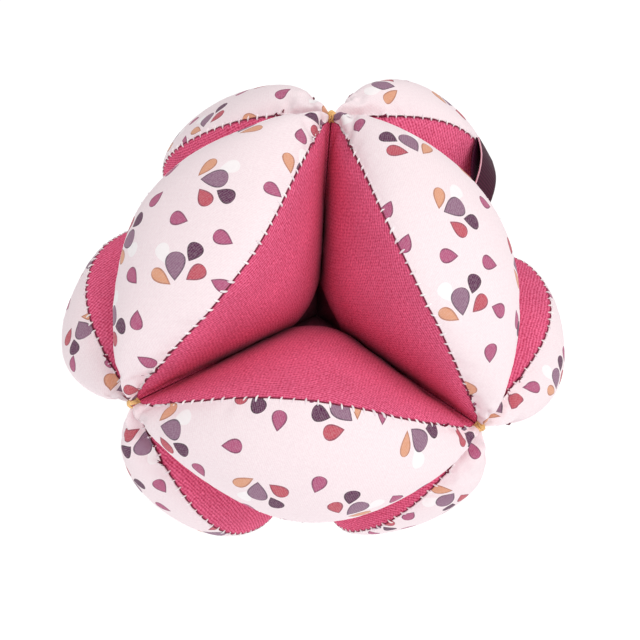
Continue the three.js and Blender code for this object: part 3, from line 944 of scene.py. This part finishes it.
def sewing_thread(name, colour, shadow, roughness):
    """Twisted cotton thread: a silky strand with a slanting ply that darkens between its turns."""
    material, tree, shader = new_material(name, {
        "Roughness": roughness, "Specular IOR Level": 0.4, "Sheen Weight": 0.15, "Sheen Roughness": 0.4})
    place = add(tree, "ShaderNodeTexCoord").outputs["Object"]
    wave = add(tree, "ShaderNodeTexWave", {"Vector": place, "Scale": 1 / (20 * PLY_TURN * MM),
               "Distortion": 1.5, "Detail": 1.0}, bands_direction="DIAGONAL")
    ply = wave.outputs["Fac"]
    shaded = add(tree, MIX, [ply, srgb(shadow), srgb(colour)], data_type="RGBA")
    raised = add(tree, BUMP, {"Height": ply, "Strength": 0.4, "Distance": 0.05 * MM})
    fill(tree, shader, {"Base Color": shaded, "Normal": raised})
    return material


def aubergine_ribbon():
    """Dark grosgrain ribbon: fine ribs from edge to edge, a slight satin gloss, and a thin pale pink
    selvedge along one edge of its outer half."""
    material, tree, shader = new_material("aubergine_ribbon", {
        "Roughness": 0.62, "Specular IOR Level": 0.15, "Sheen Weight": 0.03, "Sheen Roughness": 0.35})
    place = add(tree, PLACE, uv_map=CLOTH_MAP)
    across, along, _ = add(tree, APART, [place]).outputs
    phase = add(tree, MATH, [along, math.tau / RIB_SPACING], "MULTIPLY")
    wave = add(tree, MATH, [phase], "SINE")
    rib = add(tree, MATH, [wave, 0.5, 0.5], "MULTIPLY_ADD")
    face = add(tree, MIX, [rib, srgb(RIBBON_DEEP), srgb(RIBBON_FACE)], data_type="RGBA")
    selvedge = add(tree, RANGE, [across, *[RIBBON_WIDE / 2 - inset for inset in SELVEDGE_EDGE]])
    outer = add(tree, MATH, [along, RIBBON_LONG / 2], "LESS_THAN")
    pale = add(tree, MATH, [selvedge, outer], "MULTIPLY")
    edged = add(tree, MIX, [pale, face, srgb(SELVEDGE)], data_type="RGBA")
    raised = add(tree, BUMP, {"Height": rib, "Strength": 0.5, "Distance": 0.06 * MM})
    fill(tree, shader, {"Base Color": edged, "Normal": raised})
    return material


def opal_table():
    """The opal sheet of a light table, lit evenly from below, with the faintest tooth."""
    material, tree, shader = new_material("opal_table", {
        "Roughness": 0.95, "Specular IOR Level": 0.1, "Emission Color": srgb("FFFFFF"),
        "Emission Strength": TABLE_GLOW})
    place = add(tree, "ShaderNodeTexCoord").outputs["Object"]
    tooth = add(tree, NOISE, [place, 900.0, 2.0])
    tone = add(tree, MIX, [tooth, srgb("6E6E6E"), srgb("747474")], data_type="RGBA")
    fill(tree, shader, {"Base Color": tone})
    return material


# ---- stitches and thread, with Geometry Nodes ----

def grown(name, lines, tree, sizes):
    """Runs a Geometry Nodes tree on a mesh and keeps what it makes as a plain mesh."""
    carrier = placed(f"{name}_lines", lines)
    modifier = carrier.modifiers.new(name, "NODES")
    modifier.node_group = tree
    for item in tree.interface.items_tree:
        if item.item_type == "SOCKET" and item.in_out == "INPUT" and item.name in sizes:
            modifier[item.identifier] = sizes[item.name]
    carrier.update_tag()
    depsgraph = bpy.context.evaluated_depsgraph_get()
    mesh = bpy.data.meshes.new_from_object(carrier.evaluated_get(depsgraph))
    bpy.data.objects.remove(carrier)
    mesh.name = name
    mesh.shade_smooth()
    return placed(name, mesh)


def stitch_tree():
    """An edge stitch at every point: a short thread that tapers into the cloth at both ends, laid
    over the seam and turned a little at random. Some places have a second one."""
    tree, given, result = new_tree(
        "GeometryNodeTree", "edge_stitches",
        {"Geometry": "Geometry", "Length": "Float", "Thread": "Float", "Rise": "Float",
         "Fan": "Float", "Seed": "Int", "Material": "Material"},
        {"Geometry": "Geometry"})
    half = add(tree, MATH, [given["Length"], 0.5], "MULTIPLY")
    less = add(tree, MATH, [half, -1.0], "MULTIPLY")
    sunk = add(tree, MATH, [given["Rise"], -STITCH_SINK], "MULTIPLY")
    start = add(tree, TOGETHER, [less, None, sunk])
    middle = add(tree, TOGETHER, [None, None, given["Rise"]])
    end = add(tree, TOGETHER, [half, None, sunk])
    arch = add(tree, "GeometryNodeCurveQuadraticBezier", {"Resolution": 6, "Start": start,
               "Middle": middle, "End": end})
    along = add(tree, "GeometryNodeSplineParameter")
    wave = add(tree, MATH, [along, math.pi], "MULTIPLY")
    swell = add(tree, MATH, [wave], "SINE")
    taper = add(tree, MATH, [swell, 0.7, 0.3], "MULTIPLY_ADD")
    radius = add(tree, MATH, [taper, given["Thread"]], "MULTIPLY")
    strand = add(tree, "GeometryNodeCurvePrimitiveCircle", {"Resolution": 6, "Radius": 1.0})
    thread = add(tree, TUBE, {"Curve": arch, "Profile Curve": strand, "Scale": radius,
                 "Fill Caps": True})
    ways = [add(tree, NAMED, [name], data_type="FLOAT_VECTOR") for name in ("out", "over")]
    facing_out = add(tree, "FunctionNodeAxesToRotation", ways, primary_axis="Z", secondary_axis="X")
    less_fan = add(tree, MATH, [given["Fan"], -1.0], "MULTIPLY")
    layers = []
    for layer, share in enumerate(STITCH_LAYERS):
        seed = add(tree, MATH, [given["Seed"], 10.0 * layer + 1], "ADD")
        chosen = add(tree, RANDOM, [share, None, seed], data_type="BOOLEAN")
        swing = add(tree, RANDOM, [less_fan, given["Fan"], None, seed], data_type="FLOAT")
        round_out = add(tree, "FunctionNodeAxisAngleToRotation", [(0, 0, 1), swing])
        laid = add(tree, "FunctionNodeRotateRotation", [facing_out, round_out], rotation_space="LOCAL")
        size = add(tree, RANDOM, [*STITCH_SIZES, None, seed], data_type="FLOAT")
        layers.append(add(tree, "GeometryNodeInstanceOnPoints", {"Points": given["Geometry"],
                          "Selection": chosen, "Instance": thread, "Rotation": laid, "Scale": size}))
    both = add(tree, "GeometryNodeJoinGeometry", layers[:1])
    fill(tree, both, layers[1:])
    real = add(tree, "GeometryNodeRealizeInstances", [both])
    finished = add(tree, "GeometryNodeSetMaterial", {"Geometry": real, "Material": given["Material"]})
    fill(tree, result, [finished])
    return tree


def thread_tree():
    """Twisted thread along every line of a mesh: two plies that turn round each other."""
    tree, given, result = new_tree(
        "GeometryNodeTree", "tied_thread",
        {"Geometry": "Geometry", "Thread": "Float", "Ply turn": "Float", "Material": "Material"},
        {"Geometry": "Geometry"})
    line = add(tree, "GeometryNodeMeshToCurve", [given["Geometry"]])
    along = add(tree, "GeometryNodeSplineParameter")
    turns = add(tree, MATH, [along.outputs["Length"], given["Ply turn"]], "DIVIDE")
    angle = add(tree, MATH, [turns, math.tau], "MULTIPLY")
    twisted = add(tree, "GeometryNodeSetCurveTilt", {"Curve": line, "Tilt": angle})
    strand = add(tree, "GeometryNodeCurvePrimitiveCircle", {"Resolution": 10, "Radius": 1.0})
    point = add(tree, "GeometryNodeInputPosition")
    x, y, _ = add(tree, APART, [point]).outputs
    aside = add(tree, MATH, [x], "ABSOLUTE")
    waist = add(tree, MATH, [aside, PLY_FULL, PLY_WAIST], "MULTIPLY_ADD")
    pinched = add(tree, MATH, [y, waist], "MULTIPLY")
    ply = add(tree, TOGETHER, [x, pinched])
    plied = add(tree, "GeometryNodeSetPosition", {"Geometry": strand, "Position": ply})
    thread = add(tree, TUBE, {"Curve": twisted, "Profile Curve": plied, "Scale": given["Thread"],
                 "Fill Caps": True})
    real = add(tree, "GeometryNodeRealizeInstances", [thread])
    finished = add(tree, "GeometryNodeSetMaterial", {"Geometry": real, "Material": given["Material"]})
    fill(tree, result, [finished])
    return tree


def stitch_points(rows):
    """A mesh of points in metres, one for each stitch, with the way out of the ball and the way over
    the seam. Rows hold a point, the way out and the way over, in the ball's frame."""
    mesh = bpy.data.meshes.new("stitch_points")
    mesh.from_pydata((rows[:, 0] * MM).tolist(), [], [])
    for name, vectors in (("out", rows[:, 1]), ("over", rows[:, 2])):
        held = mesh.attributes.new(name, "FLOAT_VECTOR", "POINT")
        held.data.foreach_set("vector", vectors.astype(np.float32).ravel())
    return mesh


def line_mesh(name, lines):
    """A mesh of open lines, from lists of points in millimetres."""
    points = np.concatenate(lines)
    edges, first = [], 0
    for line in lines:
        edges += [(first + i, first + i + 1) for i in range(len(line) - 1)]
        first += len(line)
    mesh = bpy.data.meshes.new(name)
    mesh.from_pydata((points * MM).tolist(), edges, [])
    return mesh


def knot_lines(seed):
    """The thread of one tie, in its own frame with +Z out of the ball and the tips at height 0: turns
    round the gathered tips, and strands crossed over them. Its ends are tucked in."""
    rng = np.random.default_rng(seed)
    lines = []
    turn = np.linspace(0, 2 * np.pi * KNOT_TURNS, 24 * KNOT_TURNS)
    round_stem = KNOT_R + KNOT_LOOSE * np.sin(2 * turn + rng.uniform(0, 6))
    rise = np.linspace(-0.5, 0.5, len(turn))
    lines.append(np.stack([round_stem * np.cos(turn), round_stem * np.sin(turn), rise], -1))
    for number in range(KNOT_STRANDS):
        angle = number * np.pi / KNOT_STRANDS + rng.uniform(-0.3, 0.3)
        t = np.linspace(-1, 1, 15)
        reach = (KNOT_R + KNOT_SPREAD) * t
        height = KNOT_LOW + KNOT_DOME * (1 - t * t) - np.abs(t) ** 5 + KNOT_STEP * number
        aside = rng.uniform(-0.25, 0.25) + rng.uniform(-0.3, 0.3) * t
        x = reach * np.cos(angle) - aside * np.sin(angle)
        y = reach * np.sin(angle) + aside * np.cos(angle)
        lines.append(np.stack([x, y, height], -1))
    return lines


def tie_lines(tip, seed):
    """The same thread placed at a tip of the ball."""
    axis = TIPS[tip]
    first = unit(np.cross(axis, (0.3, 0.2, 0.9) if abs(axis[2]) < 0.5 else (1, 0, 0)))
    second = np.cross(axis, first)
    return [settled(line @ np.stack([first, second, axis]) + (TIP_R + KNOT_HEIGHT) * axis) + CENTRE
            for line in knot_lines(seed)]


# ---- ribbon label ----

def ribbon_label():
    """A short length of ribbon folded in half, its two ends caught in a seam. It leaves the seam
    steeply and hangs beside the ball, its two halves bowed a little apart near the seam."""
    tip_x, tip_y, beside = TIPS["top"], TIPS["right_back"], TIPS["right_front"]

    def seam_point(u):
        angle, radius = u * np.pi / 2, seam_radius(u)
        return (tip_x * radius * np.cos(angle) + tip_y * radius * np.sin(angle)
                + beside * seam_half_width(u))

    along = unit(seam_point(RIBBON_AT + 0.05) - seam_point(RIBBON_AT - 0.05))
    lead = unit(beside - along * (beside @ along))
    up = np.cross(lead, along)
    root = seam_point(RIBBON_AT) + RIBBON_ROOT * lead
    bend = np.linspace(np.radians(RIBBON_LEAVES), np.radians(RIBBON_ENDS), RIBBON_STEPS)
    heading = np.cos(bend)[:, None] * lead - np.sin(bend)[:, None] * up
    run = np.concatenate([[np.zeros(3)], np.cumsum(heading, 0)])
    spine = root + run * RIBBON_LONG / 2 / RIBBON_STEPS
    heading = np.concatenate([heading, heading[-1:]])
    above = np.cross(along, heading)
    above *= np.sign(above[0] @ up)
    share = (np.arange(RIBBON_STEPS + 1) / RIBBON_STEPS)[:, None]
    apart = RIBBON_FOLD * smooth(share, 0, 0.25) + RIBBON_OPEN * np.sin(np.pi * (share / 0.6).clip(0, 1))
    turn = np.radians(np.linspace(15, 165, 7))[:, None]
    fold = spine[-1] + RIBBON_FOLD * (above[-1] * np.cos(turn) + heading[-1] * np.sin(turn))
    aside = above * (apart + RIBBON_GAP)
    path = np.concatenate([spine + aside, fold, (spine - aside)[::-1]])
    normal = np.cross(along, units(np.gradient(path, axis=0)))
    places = run_length(path[:, None], 0)[:, 0]
    across = np.linspace(-RIBBON_WIDE / 2, RIBBON_WIDE / 2, 15)
    out = np.minimum(places, places[-1] - places)[:, None] / (RIBBON_LONG / 2)
    droop = -RIBBON_SAG * out**1.5 * ((0.5 - across / RIBBON_WIDE) ** 1.5)[None, :]
    middle = path[:, None] + along * across[None, :, None] + droop[..., None] * np.array([0, 0, 1.0])
    half = normal[:, None] * RIBBON_THICK / 2
    rings = np.concatenate([middle + half, (middle - half)[:, ::-1]], axis=1)
    flat = np.stack(np.broadcast_arrays(-across[None, :], places[:, None]), -1)
    maps = np.concatenate([flat, flat[:, ::-1]], axis=1)
    return closed_shell("folded_ribbon", settled(rings) + CENTRE, maps, np.zeros(rings.shape[:2]), True)


# ---- make it ----

SEGMENT_SEED, STITCH_SEED, TIE_SEED = 11, 4, 40

weave, petal, scatter = weave_group(), petal_group(), scatter_group()
RASPBERRY_CLOTH = raspberry_cotton(weave)
PRINTED_CLOTH = printed_cotton(weave, petal, scatter)
WHITE_THREAD = sewing_thread("white_sewing_thread", "FFFCFD", "F0E4EA", roughness=0.6)
GOLD_THREAD = sewing_thread("gold_embroidery_thread", "FFD08E", "DDA055", roughness=0.45)
RIBBON = aubergine_ribbon()

stitch_rows = []
for number, name in enumerate(SEGMENTS):
    pouch, panel, stitches, cut = make_segment(name, SEGMENT_SEED + number)
    pouch.data.materials.append(RASPBERRY_CLOTH)
    panel.data.materials.append(PRINTED_CLOTH)
    start = in_ball(stitches[:, 0], name)
    ways = [in_ball(stitches[:, 0] + stitches[:, k], name) - start for k in (1, 2)]
    stitch_rows.append(np.stack([start, *ways], 1))
    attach(pouch, "root")
    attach(panel, "root")
    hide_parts(f"pouch_{name}")
    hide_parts(f"panel_{name}")
    print(f"{name}: panel cut to {cut[0]:.1f} x {cut[1]:.1f} mm")

stitching = grown("edge_stitching", stitch_points(np.concatenate(stitch_rows)), stitch_tree(), {
    "Length": STITCH_LENGTH * MM, "Thread": STITCH_THREAD * MM, "Rise": STITCH_RISE * MM,
    "Fan": STITCH_FAN, "Seed": STITCH_SEED, "Material": WHITE_THREAD})
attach(stitching, "root")

thread_nodes = thread_tree()
for number, tip in enumerate(TIPS):
    lines = line_mesh(f"tie_lines_{tip}", tie_lines(tip, TIE_SEED + number))
    tie = grown(f"gold_tie_{tip}", lines, thread_nodes, {
        "Thread": KNOT_THREAD * MM, "Ply turn": PLY_TURN * MM, "Material": GOLD_THREAD})
    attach(tie, "root")
    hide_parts(f"tie_{tip}")

label = ribbon_label()
label.data.materials.append(RIBBON)
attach(label, "root")
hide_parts("ribbon_label")


# ---- floor and light ----

TABLE_GLOW, SKY = 0.96, 0.52


def flat_floor():
    mesh = bpy.data.meshes.new("studio_floor")
    half = 3.0
    mesh.from_pydata([(-half, -half, 0), (half, -half, 0), (half, half, 0), (-half, half, 0)], [],
                     [(0, 1, 2, 3)])
    floor = placed("studio_floor", mesh)
    floor.data.materials.append(opal_table())


def soft_light(name, azimuth, elevation, away, size, power, colour):
    """A large square light that faces the ball's centre. Azimuth is from the front, to the right."""
    lamp = bpy.data.lights.new(name, "AREA")
    lamp.shape = "SQUARE"
    lamp.size = size
    lamp.energy = power
    lamp.color = srgb(colour)[:3]
    held = placed(name, lamp)
    a, e = math.radians(azimuth), math.radians(elevation)
    way = Vector((math.sin(a) * math.cos(e), -math.cos(a) * math.cos(e), math.sin(e)))
    held.location = Vector(CENTRE * MM) + way * away
    held.rotation_euler = way.to_track_quat("Z", "Y").to_euler()


flat_floor()
soft_light("key_softbox", azimuth=34, elevation=56, away=0.9, size=0.8, power=4.5, colour="FFFCF8")
soft_light("fill_softbox", azimuth=-60, elevation=34, away=1.1, size=0.9, power=0.4, colour="FFF6F8")
world = bpy.data.worlds.new("white_studio")
world.use_nodes = True
fill(world.node_tree, world.node_tree.nodes["Background"], {"Color": srgb("FFFFFF"), "Strength": SKY})
bpy.context.scene.world = world
bpy.context.scene.view_settings.view_transform = "Standard"
